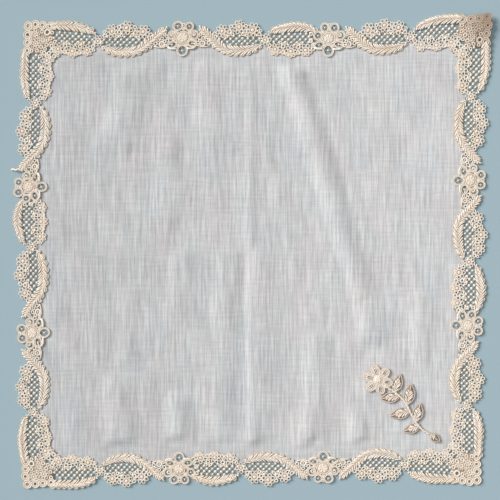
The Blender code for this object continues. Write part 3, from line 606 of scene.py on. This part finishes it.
def thin_plate(sources, targets):
    """The smooth map that carries the sources onto the targets."""
    def bend(d):
        return np.where(d > 0, d * d * np.log(np.maximum(d, 1e-9)), 0.0)

    count = len(sources)
    system = np.zeros((count + 3, count + 3))
    system[:count, :count] = bend(np.linalg.norm(sources[:, None] - sources[None], axis=2))
    system[:count, count:] = np.column_stack([np.ones(count), sources])
    system[count:, :count] = system[:count, count:].T
    weights = np.linalg.solve(system, np.vstack([targets, np.zeros((3, 2))]))

    def apply(points):
        points = np.asarray(points, float)
        rows = bend(np.linalg.norm(points[:, None] - sources[None], axis=2))
        return rows @ weights[:count] + np.column_stack([np.ones(len(points)), points]) @ weights[count:]

    return apply


def settle():
    """The map from the even drawing to the border as it lies on the table."""
    drawn, lying = [], []
    for quarter, row in enumerate(STATIONS):
        us = (-HALF_SIDE, WAISTS[0], FLOWERS[0], WAISTS[1], FLOWERS[1], WAISTS[2])
        vs = (0.0, WAIST_V, FLOWER_V, WAIST_V, FLOWER_V, WAIST_V)
        drawn += [turned((u, HALF_SIDE + v), quarter) for u, v in zip(us, vs)]
        lying += [(x + CENTRE[0], y + CENTRE[1]) for x, y in row]
    return thin_plate(np.array(drawn), np.array(lying))


def corner_lift(points):
    """How far the top right corner has risen at each point."""
    height, reach = CORNER_LIFT
    tip = np.array(STATIONS[1][0]) + np.array(CENTRE) + 10.0
    return height * smooth(1 - np.linalg.norm(points - tip, axis=1) / reach)


def hand_made(points):
    """Small uneven shifts, so that no two repeats are the same."""
    x, y = points.T
    dx = 0.16 * np.sin(x / 2.9 + 1.3 * np.sin(y / 5.1)) + 0.22 * np.sin(y / 6.3 + 0.7)
    dy = 0.16 * np.sin(y / 3.1 + 1.1 * np.sin(x / 4.7)) + 0.22 * np.sin(x / 7.1 + 2.1)
    return points + np.stack([dx, dy], axis=1)


class Piece:
    """All the threads of one piece, on the table."""

    def __init__(self, name, warp, seed):
        self.name, self.warp = name, warp
        self.rng = np.random.default_rng(seed)
        self.verts, self.faces, self.tones, self.painted_shade_rises = [], [], [], []
        self.count = 0

    def collect(self, plan, height, base, faces, thread, tones, flip, relief=1.0):
        shade = np.clip(tones + self.rng.uniform(-0.2, 0.25, len(tones)), 0, 1)
        dull = corner_lift(plan) / CORNER_LIFT[0]
        self.verts.append(np.column_stack([plan, relief * height + base]))
        self.faces.append((faces[:, ::-1] if flip else faces) + self.count)
        self.tones.append(np.clip(shade[thread] + DULL_TONE * dull, 0, 1))
        # Painted shade: the lower a thread lies, the darker its colour, through its rise.
        self.painted_shade_rises.append(np.clip(height / RISE_SCALE * (1 - DULL_LEVEL * dull), 0, 1))
        self.count += len(plan)

    def put(self, form, unit, at, way, quarter, where=(0.0, 0.0), turn=0.0, size=1.0):
        verts, faces, thread, tones = form.packed()
        local = spin(verts[:, :2], turn) * size + where
        raised = FLOWER_RAISE if unit == "flower" else 0.0
        plan = turned(np.stack([at + way * local[:, 0], HALF_SIDE + local[:, 1]], axis=1), quarter)
        if unit == "corner":
            step = (np.minimum(local[:, 0], -local[:, 1]) - CORNER_STEP) / STEP_WIDE
        else:
            edge = np.array(LINEN_EDGE[unit])
            step = (np.interp(local[:, 0], *edge.T) - local[:, 1]) / STEP_WIDE + STEP_OUT
        over = LACE_OVER_LINEN * smooth(step)
        lying = self.warp(hand_made(plan))
        base = over + raised + corner_lift(lying)
        relief = 1 - LACE_PRESSED * over / LACE_OVER_LINEN
        self.collect(lying, verts[:, 2], base, faces, thread, tones, way < 0, relief)

    def finish(self, material, slot, nodes):
        # The rise attribute carries the lace's painted shade.
        obj = mesh_object(self.name, np.vstack(self.verts), np.vstack(self.faces),
                          {"tone": np.concatenate(self.tones), "rise": np.concatenate(self.painted_shade_rises)})
        obj.data.materials.append(material)
        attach(obj, "root")
        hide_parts(*nodes)
        return obj


def mesh_object(name, verts, faces, attributes):
    """A smooth mesh from millimetres. A face whose last two corners are one is a triangle."""
    triangle = (faces[:, 2] == faces[:, 3]) | (faces[:, 0] == faces[:, 1])
    sizes = np.where(triangle, 3, 4)
    keep = np.ones(faces.shape, bool)
    keep[faces[:, 2] == faces[:, 3], 3] = False
    keep[faces[:, 0] == faces[:, 1], 0] = False
    corners = faces[keep]
    mesh = bpy.data.meshes.new(name)
    mesh.vertices.add(len(verts))
    mesh.vertices.foreach_set("co", (verts * MM).astype(np.float32).ravel())
    mesh.loops.add(len(corners))
    mesh.loops.foreach_set("vertex_index", corners.astype(np.int32))
    mesh.polygons.add(len(faces))
    mesh.polygons.foreach_set("loop_start", np.concatenate([[0], np.cumsum(sizes)[:-1]]).astype(np.int32))
    mesh.update(calc_edges=True)
    mesh.validate()
    for key, values in attributes.items():
        mesh.attributes.new(key, "FLOAT", "POINT").data.foreach_set("value", values.astype(np.float32))
    mesh.shade_smooth()
    obj = bpy.data.objects.new(name, mesh)
    bpy.context.scene.collection.objects.link(obj)
    return obj


def lace_pieces(warp, material):
    """The border's threads, as five pieces."""
    names = ("lace_net", "lace_leaves", "lace_rosettes", "lace_flowers", "lace_corners")
    made = [Piece(name, warp, 11 + k) for k, name in enumerate(names)]
    net_piece, leaf_piece, rose_piece, flower_piece, corner_piece = made
    leaves = {unit: leaf(rows, lobed=True) for unit, rows in LEAVES.items()}
    nets = {unit: net(patch, ROSES[unit]) for unit, patch in NETS.items()}
    bands = {unit: eyelet_band(rows) for unit, rows in BAND_EYES.items()}
    for unit in ("leaf_out_corner", "leaf_out_flower"):
        # Painted light: a pale sheet that hides the shade in the holes of the rosettes over the linen.
        bands[unit].ground(OUT_BACKING, (), 0.3, 0.86, TAN)
    big, little = rosette(ROSE), rosette(WAIST_ROSE)
    filling, block = leaf_end_filling(), corner_block()
    rng = np.random.default_rng(3)
    seed = 0
    for quarter in range(4):
        corner_piece.put(block, "corner", -HALF_SIDE, 1, quarter)
        for unit, at, way in SIDE:
            if unit in LEAVES:
                leaf_piece.put(leaves[unit], unit, at, way, quarter)
                net_piece.put(nets[unit], unit, at, way, quarter)
            for q, v, radius in ROSES.get(unit, ()):
                form, drawn = (little, WAIST_ROSE) if unit == "waist" else (big, ROSE)
                rose_piece.put(form, unit, at, way, quarter, (q, v), rng.uniform(0, 45),
                               radius / drawn * rng.uniform(0.96, 1.04))
            if unit in BAND_EYES:
                rose_piece.put(bands[unit], unit, at, way, quarter)
            if unit == "leaf_in":
                flower_piece.put(filling, unit, at, way, quarter)
            if unit == "flower":
                seed += 1
                flower_piece.put(flower(seed), unit, at, way, quarter)
    loose = Motif()
    loose.tube(curve(LOOSE_END, 0.6), 0.7, 0.45, TAN, 7)
    verts, faces, thread, tones = loose.packed()
    flower_piece.collect(verts[:, :2], verts[:, 2], 0.0, faces, thread, tones, False)
    return [piece.finish(material, "lace", ["lace_border"]) for piece in made]


def distance_to(points, loop):
    """Distance of each point from a closed loop."""
    found = []
    a, b = loop[None], np.roll(loop, -1, axis=0)[None]
    for start in range(0, len(points), 4000):
        p = points[start:start + 4000, None]
        t = (((p - a) * (b - a)).sum(axis=2) / ((b - a) ** 2).sum(axis=2)).clip(0, 1)
        found.append(np.linalg.norm(p - a - (b - a) * t[..., None], axis=2).min(axis=1))
    return np.concatenate(found)


def from_line(points, start, end):
    """Distance of each point from a straight line between two places."""
    a, b = np.add(start, CENTRE), np.add(end, CENTRE)
    t = (((points - a) @ (b - a)) / ((b - a) @ (b - a))).clip(0, 1)
    return np.linalg.norm(points - a - t[:, None] * (b - a), axis=1)


def from_ridge(points, row):
    """Distance from a fold's crest, as a share of the slope on that side."""
    x0, y0, x1, y1, left, right, _ = row
    away = from_line(points, (x0, y0), (x1, y1))
    ahead = np.array((x1 - x0, y1 - y0)) / math.hypot(x1 - x0, y1 - y0)
    side = (points - (x0, y0) - CENTRE) @ np.array((-ahead[1], ahead[0]))
    lean = (side / np.maximum(away, 1e-6)).clip(-1, 1)
    return away / (left + (right - left) * (lean + 1) / 2)


def linen_height(points, edge):
    """The folds, which fade toward the linen's edge and the spray, and a gentle unevenness."""
    height = np.zeros(len(points))
    for row in FOLDS:
        away = from_ridge(points, row).clip(0, 1)
        height = np.maximum(height, row[-1] * (1 - away**2) ** 2)
    x, y = points.T
    wave = 0.16 * np.sin(x / 7.3 + 1.1 * np.sin(y / 31.0)) + 0.12 * np.sin(x / 3.9 + y / 23.0 + 0.6)
    wave += 0.10 * np.sin(y / 9.7 + 0.9 * np.sin(x / 27.0)) + 0.12 * np.sin((x + 0.33 * y) / 14.0)
    height += REST + WAVE * wave
    foot = spin((SPRAY_LONG, 0.0), SPRAY_TURN) + SPRAY_AT
    for away, (near, whole) in (
        (distance_to(points, edge), FOLD_FADE),
        (from_line(points, SPRAY_AT, foot), SPRAY_FADE),
    ):
        height = height * smooth((away - near) / (whole - near))
    return height


def linen_sheet(warp, material):
    """The linen as one thin sheet on its folds, and its flat size and area."""
    edge = []
    for quarter in range(4):
        edge += [turned((-HALF_SIDE + q, HALF_SIDE + v), quarter) for q, v in CORNER_LINEN]
        for unit, at, way in SIDE:
            rows = LINEN_EDGE[unit][::way]
            edge += [turned((at + way * q, HALF_SIDE + v), quarter) for q, v in rows]
    edge = warp(np.array(edge))
    low, high = edge.min(axis=0), edge.max(axis=0)
    xs, ys = np.arange(low[0], high[0], LINEN_GRID), np.arange(low[1], high[1], LINEN_GRID)
    grid = np.stack(np.meshgrid(xs, ys), axis=-1)
    grid[1::2, :, 0] += LINEN_GRID / 2
    grid = grid.reshape(-1, 2)
    grid = grid[inside(grid, edge)]
    grid = grid[distance_to(grid, edge) > 0.5 * LINEN_GRID]
    flat = np.vstack([edge, grid])
    ring = [(i, (i + 1) % len(edge)) for i in range(len(edge))]
    found = delaunay_2d_cdt([Vector(p) for p in flat], ring, [], 1, 1e-6, False)
    points = np.array([tuple(p) for p in found[0]])
    faces = np.array([tuple(f) for f in found[2]])
    faces = faces[inside(points[faces].mean(axis=1), edge)]
    height = LINEN_Z + linen_height(points, edge) + corner_lift(points)
    height -= EDGE_DROP * smooth(1 - distance_to(points, edge) / EDGE_REACH)
    obj = mesh_object("linen", np.column_stack([points, height]), np.column_stack([faces, faces[:, 2]]), {})
    obj.data.materials.append(material)
    a, b, c = (points[faces[:, k]] for k in range(3))
    cross = (b - a)[:, 0] * (c - a)[:, 1] - (b - a)[:, 1] * (c - a)[:, 0]
    area = 0.5 * np.abs(cross).sum() * MM * MM
    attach(obj, "root")
    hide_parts("linen_field")
    return obj, (high - low) * MM, area


def spray_leaf(form, s, w, turn, length, half):
    """One leaf of the spray, with its own herringbone and a brown-edged rim."""
    along = (0.02, 0.25, 0.5, 0.75, 0.97)
    rows = [(length * t, 0.0, max(0.9, half * math.sin(math.pi * t**0.85))) for t in along]
    drawn = leaf(rows, 1.9, 0.55, 38.0, 0.5)
    verts, faces, thread, tones = drawn.packed()
    plan = spin(verts[:, :2], turn) + (s, w)
    form.add(np.column_stack([plan, verts[:, 2]]), faces, TAN)
    t = np.linspace(0, 1, 14)
    width = half * np.sin(np.pi * t**0.85)
    upper = np.stack([length * t, width], axis=1)
    rim = spin(np.vstack([upper, upper[-2:0:-1] * (1, -1)]), turn) + (s, w)
    form.tube(np.column_stack([rim, np.full(len(rim), 0.55)]), 0.42, 0.42, RIM_TONE, 6, closed=True)


def corner_spray(material):
    """The small spray in one corner: a wound stem, seven leaves and a blossom."""
    form = Motif()
    stem = curve(STEM, 1.0)
    for phase in (0.0, math.pi):
        wind = np.arange(len(stem)) * 1.15 + phase
        path = stem + across(stem) * 0.42 * np.sin(wind)[:, None]
        form.tube(np.column_stack([path, 0.7 + 0.25 * np.cos(wind)]), 0.55, 0.45, STEM_TONE, 7)
    for row in SPRAY_LEAVES:
        spray_leaf(form, *row)
    for k in range(PETALS):
        turn = 360 * k / PETALS + 30
        middle = spin((PETAL_REACH, 0.0), turn)
        form.ring(*middle, PETAL_LONG - 0.5, PETAL_WIDE - 0.5, 0.7, 0.5, 0.45, RIM_TONE, turn, 22, 6)
        form.ring(*middle, PETAL_LONG - 1.5, PETAL_WIDE - 1.4, 0.66, 0.62, 0.36, TAN, turn, 20, 6)
        form.ring(*middle, PETAL_LONG - 2.6, PETAL_WIDE - 2.2, 0.72, 0.4, 0.32, PLAIN, turn, 16, 5)
        for j in (-1, 0, 1):
            inner, outer = spin((2.2, 0.45 * j), turn), spin((PETAL_REACH + 2.6, 1.5 * j), turn)
            form.tube([(*inner, 0.85), (*((inner + outer) / 2), 1.05), (*outer, 0.85)], 0.26, 0.24, TAN, 5)
    form.knot(0, 0, 0.9, HEART - 0.6, HEART - 0.6, 0.85, TAN, 0, 18, 5)
    form.ring(0, 0, HEART - 0.45, HEART - 0.45, 0.9, 0.45, 0.42, RIM_TONE, 0, 22, 6)
    for k in range(DOTS):
        a = 2 * math.pi * k / DOTS
        form.knot(DOT_REACH * math.cos(a), DOT_REACH * math.sin(a), 1.45, 0.55, 0.55, 0.4, PLAIN)
    verts, faces, thread, tones = form.packed()
    plan = spin(verts[:, :2], SPRAY_TURN) + SPRAY_AT + np.array(CENTRE)
    piece = Piece("lace_spray", None, 16)
    piece.collect(plan, verts[:, 2], SPRAY_Z - SPRAY_SUNK, faces, thread, tones, False)
    return piece.finish(material, "sprig_lace", ["corner_sprig"])


def ramp(nodes, stops):
    """A colour ramp. Columns of its stops: place, colour."""
    node = nodes.new("ShaderNodeValToRGB")
    node.color_ramp.interpolation = "B_SPLINE" if len(stops) > 2 else "LINEAR"
    for k, (at, colour) in enumerate(stops):
        if k < 2:
            element = node.color_ramp.elements[k]
            element.position = at
        else:
            element = node.color_ramp.elements.new(at)
        element.color = (*colour, 1.0)
    return node


def mixed(tree, mode, factor, first, second):
    """A colour mix node. factor is a number or a socket, as the two colours are."""
    node = tree.nodes.new("ShaderNodeMix")
    node.data_type, node.blend_type = "RGBA", mode
    for value, socket in ((factor, node.inputs[0]), (first, node.inputs[6]), (second, node.inputs[7])):
        if isinstance(value, bpy.types.NodeSocket):
            tree.links.new(value, socket)
        elif isinstance(value, tuple):
            socket.default_value = (*value, 1.0)
        else:
            socket.default_value = value
    return node.outputs[2]


def noise(tree, scale, detail, rough):
    """Noise in the object's own metres, with its own scale along x, y and z."""
    coordinates = tree.nodes.new("ShaderNodeTexCoord")
    mapping = tree.nodes.new("ShaderNodeMapping")
    mapping.inputs["Scale"].default_value = scale
    texture = tree.nodes.new("ShaderNodeTexNoise")
    texture.inputs["Scale"].default_value = 1.0
    texture.inputs["Detail"].default_value = detail
    texture.inputs["Roughness"].default_value = rough
    tree.links.new(coordinates.outputs["Object"], mapping.inputs["Vector"])
    tree.links.new(mapping.outputs["Vector"], texture.inputs["Vector"])
    return texture.outputs["Fac"]


def mottle(tree, scale, detail, rough, stops):
    """Noise, coloured by the stops of a ramp."""
    node = ramp(tree.nodes, stops)
    tree.links.new(noise(tree, scale, detail, rough), node.inputs["Fac"])
    return node.outputs["Color"]


def dimmed(tree, colour, layers):
    """A colour multiplied by each of the layers."""
    for layer in layers:
        colour = mixed(tree, "MULTIPLY", 1.0, colour, layer)
    return colour


def attribute(tree, name):
    """A value that a mesh carries at its points."""
    node = tree.nodes.new("ShaderNodeAttribute")
    node.attribute_name = name
    return node.outputs["Fac"]


def fresh_material(name, roughness):
    """A new material, its node tree and its shader."""
    material = bpy.data.materials.new(name)
    material.use_nodes = True
    shader = material.node_tree.nodes["Principled BSDF"]
    shader.inputs["Roughness"].default_value = roughness
    return material, material.node_tree, shader


def finish_cloth(tree, shader, colour, specular, sheen, height, strength, distance):
    """The colour, shine and bumps of a cloth."""
    tree.links.new(colour, shader.inputs["Base Color"])
    shader.inputs["Specular IOR Level"].default_value = specular
    shader.inputs["Sheen Weight"].default_value = sheen
    bump = tree.nodes.new("ShaderNodeBump")
    bump.inputs["Strength"].default_value = strength
    bump.inputs["Distance"].default_value = distance
    tree.links.new(height, bump.inputs["Height"])
    tree.links.new(bump.outputs["Normal"], shader.inputs["Normal"])


def lace_material(name, high_plain, high_pink, shaded_plain, shaded_pink):
    """Cotton thread with each thread's own tone, and painted shade: tan in its depths, cream on its crests.
    """
    material, tree, shader = fresh_material(name, 0.9)
    tone, rise = attribute(tree, "tone"), attribute(tree, "rise")
    high = mixed(tree, "MIX", tone, high_plain, high_pink)
    low = mixed(tree, "MIX", tone, shaded_plain, shaded_pink)
    # Painted shade: from the darker colour in the lace's depths to the thread's own colour on its crests.
    level = ramp(tree.nodes, ((FULL_SHADE_RISE, (0, 0, 0)), (NO_SHADE_RISE, (1, 1, 1))))
    tree.links.new(rise, level.inputs["Fac"])
    body = mixed(tree, "MIX", level.outputs["Color"], low, high)
    fibres = mottle(tree, (1500, 1500, 1500), 3.0, 0.6, ((0.3, (0.87, 0.86, 0.84)), (0.7, (1.0, 1.0, 1.0))))
    stain = mottle(tree, (28, 28, 28), 2.0, 0.5, ((0.35, (1.0, 0.975, 0.92)), (0.7, (1.0, 1.0, 1.0))))
    colour = dimmed(tree, body, (fibres, stain))
    twist = noise(tree, (2600, 2600, 2600), 2.0, 0.7)
    finish_cloth(tree, shader, colour, 0.25, 0.15, twist, 0.5, 0.00012)
    return material


def linen_material():
    """Sheer lawn with uneven threads, stronger along y than along x, and painted darker on the left than on
    the right.
    """
    material, tree, shader = fresh_material("sheer_linen", 0.85)
    along_y = mottle(tree, (800, 36, 1), 3.0, 0.7, ((0.34, (0.65, 0.65, 0.665)), (0.66, (1.0, 1.0, 1.0))))
    along_x = mottle(tree, (44, 640, 1), 3.0, 0.7, ((0.32, (0.86, 0.86, 0.87)), (0.68, (1.0, 1.0, 1.0))))
    tint = mottle(tree, (38, 22, 1), 2.0, 0.5,
                  ((0.30, (0.93, 0.97, 1.0)), (0.5, (1.0, 1.0, 0.995)), (0.72, (1.0, 0.96, 0.97))))
    thin = mottle(tree, (75, 20, 1), 3.0, 0.6, ((0.36, (0.91, 0.91, 0.915)), (0.64, (1.0, 1.0, 1.0))))
    place = tree.nodes.new("ShaderNodeTexCoord")
    split = tree.nodes.new("ShaderNodeSeparateXYZ")
    light_falloff = tree.nodes.new("ShaderNodeMapRange")
    light_falloff.inputs["From Min"].default_value = -LINEN_TURN
    light_falloff.inputs["From Max"].default_value = LINEN_TURN
    tree.links.new(place.outputs["Object"], split.inputs["Vector"])
    tree.links.new(split.outputs["X"], light_falloff.inputs["Value"])
    # Painted light: the linen's colour goes from darker on the left to lighter on the right.
    base = mixed(tree, "MIX", light_falloff.outputs["Result"], LINEN_SHADED_LEFT, LINEN_LIT_RIGHT)
    colour = dimmed(tree, base, (along_y, along_x, tint, thin))
    shader.inputs["Alpha"].default_value = 0.93
    weave = mixed(tree, "MIX", 0.5, along_y, along_x)
    finish_cloth(tree, shader, colour, 0.2, 0.1, weave, 0.35, 0.00015)
    return material


def stage_and_camera():
    """A plain pale floor, the camera straight above and a soft light from the left."""
    bpy.ops.mesh.primitive_plane_add(size=FLOOR_WIDE, location=(0, 0, FLOOR_Z))
    floor = bpy.context.object
    floor.name = "floor"
    paint, _, shader = fresh_material("floor_paint", 0.95)
    shader.inputs["Base Color"].default_value = (*FLOOR_COLOUR, 1.0)
    floor.data.materials.append(paint)
    middle = Vector((CENTRE[0] * MM, CENTRE[1] * MM, 0.0))
    data = bpy.data.cameras.new("camera")
    data.lens, data.sensor_width = LENS, SENSOR
    camera = bpy.data.objects.new("camera", data)
    camera.location = middle + Vector((0, 0, PHOTO_WIDE * MM * LENS / SENSOR))
    bpy.context.scene.collection.objects.link(camera)
    bpy.context.scene.camera = camera
    key = bpy.data.lights.new("key", "SUN")
    key.energy, key.angle = KEY_POWER, math.radians(KEY_SOFT)
    fill = bpy.data.lights.new("fill", "AREA")
    fill.energy, fill.size = FILL_POWER, FILL_WIDE
    for light, spot in ((key, KEY_FROM), (fill, FILL_FROM)):
        lamp = bpy.data.objects.new(light.name, light)
        lamp.location = spot
        lamp.rotation_euler = (middle - Vector(spot)).to_track_quat("-Z", "Y").to_euler()
        bpy.context.scene.collection.objects.link(lamp)
    world = bpy.data.worlds.new("studio")
    world.use_nodes = True
    background = world.node_tree.nodes["Background"]
    background.inputs["Color"].default_value = (1.0, 1.0, 1.0, 1.0)
    background.inputs["Strength"].default_value = WORLD_LIGHT
    bpy.context.scene.world = world
    bpy.context.scene.view_settings.view_transform = "Standard"


def main():
    for obj in list(bpy.data.objects):
        bpy.data.objects.remove(obj, do_unlink=True)
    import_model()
    warp = settle()
    # Each lace material: the thread's colours on its crests, then the darker painted shade of its depths.
    cream = lace_material("cream_lace", (1.0, 0.94, 0.85), (0.97, 0.81, 0.70), (0.48, 0.37, 0.28),
                          (0.44, 0.31, 0.23))
    tan = lace_material("tan_lace", (1.0, 0.93, 0.85), (0.93, 0.80, 0.70), (0.50, 0.38, 0.29),
                        (0.36, 0.25, 0.18))
    lace = lace_pieces(warp, cream)
    linen, flat, area = linen_sheet(warp, linen_material())
    spray = corner_spray(tan)
    stage_and_camera()
    bpy.context.view_layer.update()


main()
